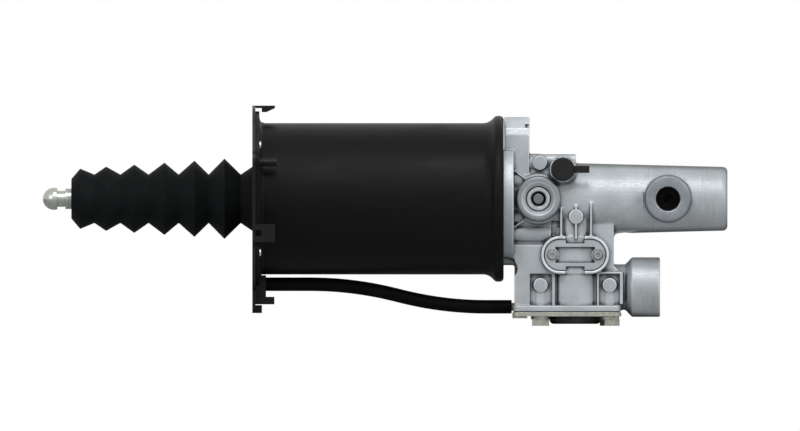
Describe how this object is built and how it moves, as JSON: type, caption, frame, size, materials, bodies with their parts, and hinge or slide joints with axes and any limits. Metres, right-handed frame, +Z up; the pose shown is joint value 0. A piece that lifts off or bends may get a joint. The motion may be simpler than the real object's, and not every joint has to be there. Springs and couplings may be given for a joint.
{
  "type": "clutch servo",
  "caption": "Air-assisted hydraulic clutch servo: black cylinder with a two-eared flange, bellows and push rod at one end and a cast valve housing with two ports at the other.",
  "frame": {"origin": "on the cylinder's axis, at the steel flange's mounting face", "axes": "+X runs along the cylinder from the flange to the hydraulic end, -X along the push rod, +Z is up and -Y is the side with the hydraulic port"},
  "size_m": [0.4792, 0.164, 0.1542],
  "materials": {
    "black_steel": "satin black paint",
    "zinc_steel": "zinc plated, satin",
    "rod_steel": "zinc plated, smooth",
    "cast_aluminium": "as die cast, fine grain",
    "machined_aluminium": "turned",
    "ground_steel": "ground",
    "spring_steel": "oiled",
    "black_plastic": "moulded, matt",
    "boot_rubber": "matt",
    "cap_rubber": "smooth",
    "seal_rubber": "smooth",
    "bronze": "sintered",
    "guide_plastic": "filled",
    "gasket": "flat"
  },
  "bodies": {
    "servo_body": {"mounting_flange": "black_steel", "cylinder_shell": "black_steel", "adapter_plate": "black_plastic", "adapter_rivets": "zinc_steel", "boot": "boot_rubber", "preload_spring": "spring_steel", "plunger_clip": "spring_steel", "plunger_bush": "bronze", "plunger_air_seal": "seal_rubber", "plunger_spacer": "machined_aluminium", "plunger_cup": "seal_rubber", "housing_seal": "seal_rubber", "housing": "cast_aluminium", "plug_sleeve": "machined_aluminium", "plug_pin": "ground_steel", "bleed_screw": "zinc_steel", "port_seal": "seal_rubber", "port_clip": "spring_steel", "side_plate": "cast_aluminium", "side_plate_screws": "zinc_steel", "relay_spring": "spring_steel", "valve_spring": "spring_steel", "valve_insert": "machined_aluminium", "insert_seal": "seal_rubber", "cover_gasket": "gasket", "foot_cover": "zinc_steel", "cover_bolts": "zinc_steel", "vent_cap": "cap_rubber", "breather_hose": "boot_rubber", "hose_nipples": "zinc_steel"},
    "piston": {"servo_piston": "machined_aluminium", "rod_retainer": "spring_steel", "piston_seal": "seal_rubber", "guide_ring": "guide_plastic", "hydraulic_plunger": "ground_steel"},
    "push_rod": {"push_rod": "rod_steel"},
    "relay_piston": {"relay_piston": "machined_aluminium", "relay_disc_seal": "seal_rubber", "relay_stem_seal": "seal_rubber"},
    "inlet_valve": {"inlet_valve": "machined_aluminium"},
    "bleeder_cap": {"bleeder_cap": "cap_rubber"}
  },
  "joints": [
    {"name": "piston_stroke", "type": "slide", "parent": "servo_body", "child": "piston", "axis": [-1, 0, 0], "range_m": [0, 0.07], "deforming": ["boot", "preload_spring"]},
    {"name": "rod_swivel", "type": "hinge", "parent": "piston", "child": "push_rod", "pos_m": [0.104, 0, 0], "axis": [0, 1, 0], "range_deg": [-2, 2], "stiffness_Nm_per_rad": 55},
    {"name": "relay_stroke", "type": "slide", "parent": "servo_body", "child": "relay_piston", "axis": [0, 0, -1], "range_m": [0, 0.003], "stiffness_N_per_m": 3000, "deforming": ["relay_spring"]},
    {"name": "valve_stroke", "type": "slide", "parent": "servo_body", "child": "inlet_valve", "axis": [0, 0, -1], "range_m": [0, 0.0015], "stiffness_N_per_m": 500, "deforming": ["valve_spring"]},
    {"name": "cap_pull", "type": "slide", "parent": "servo_body", "child": "bleeder_cap", "axis": [0, -1, 0], "range_m": [0, 0.02]}
  ],
  "couplings": [
    {"joint": "valve_stroke", "follows": "relay_stroke", "ratio": 0.5}
  ]
}
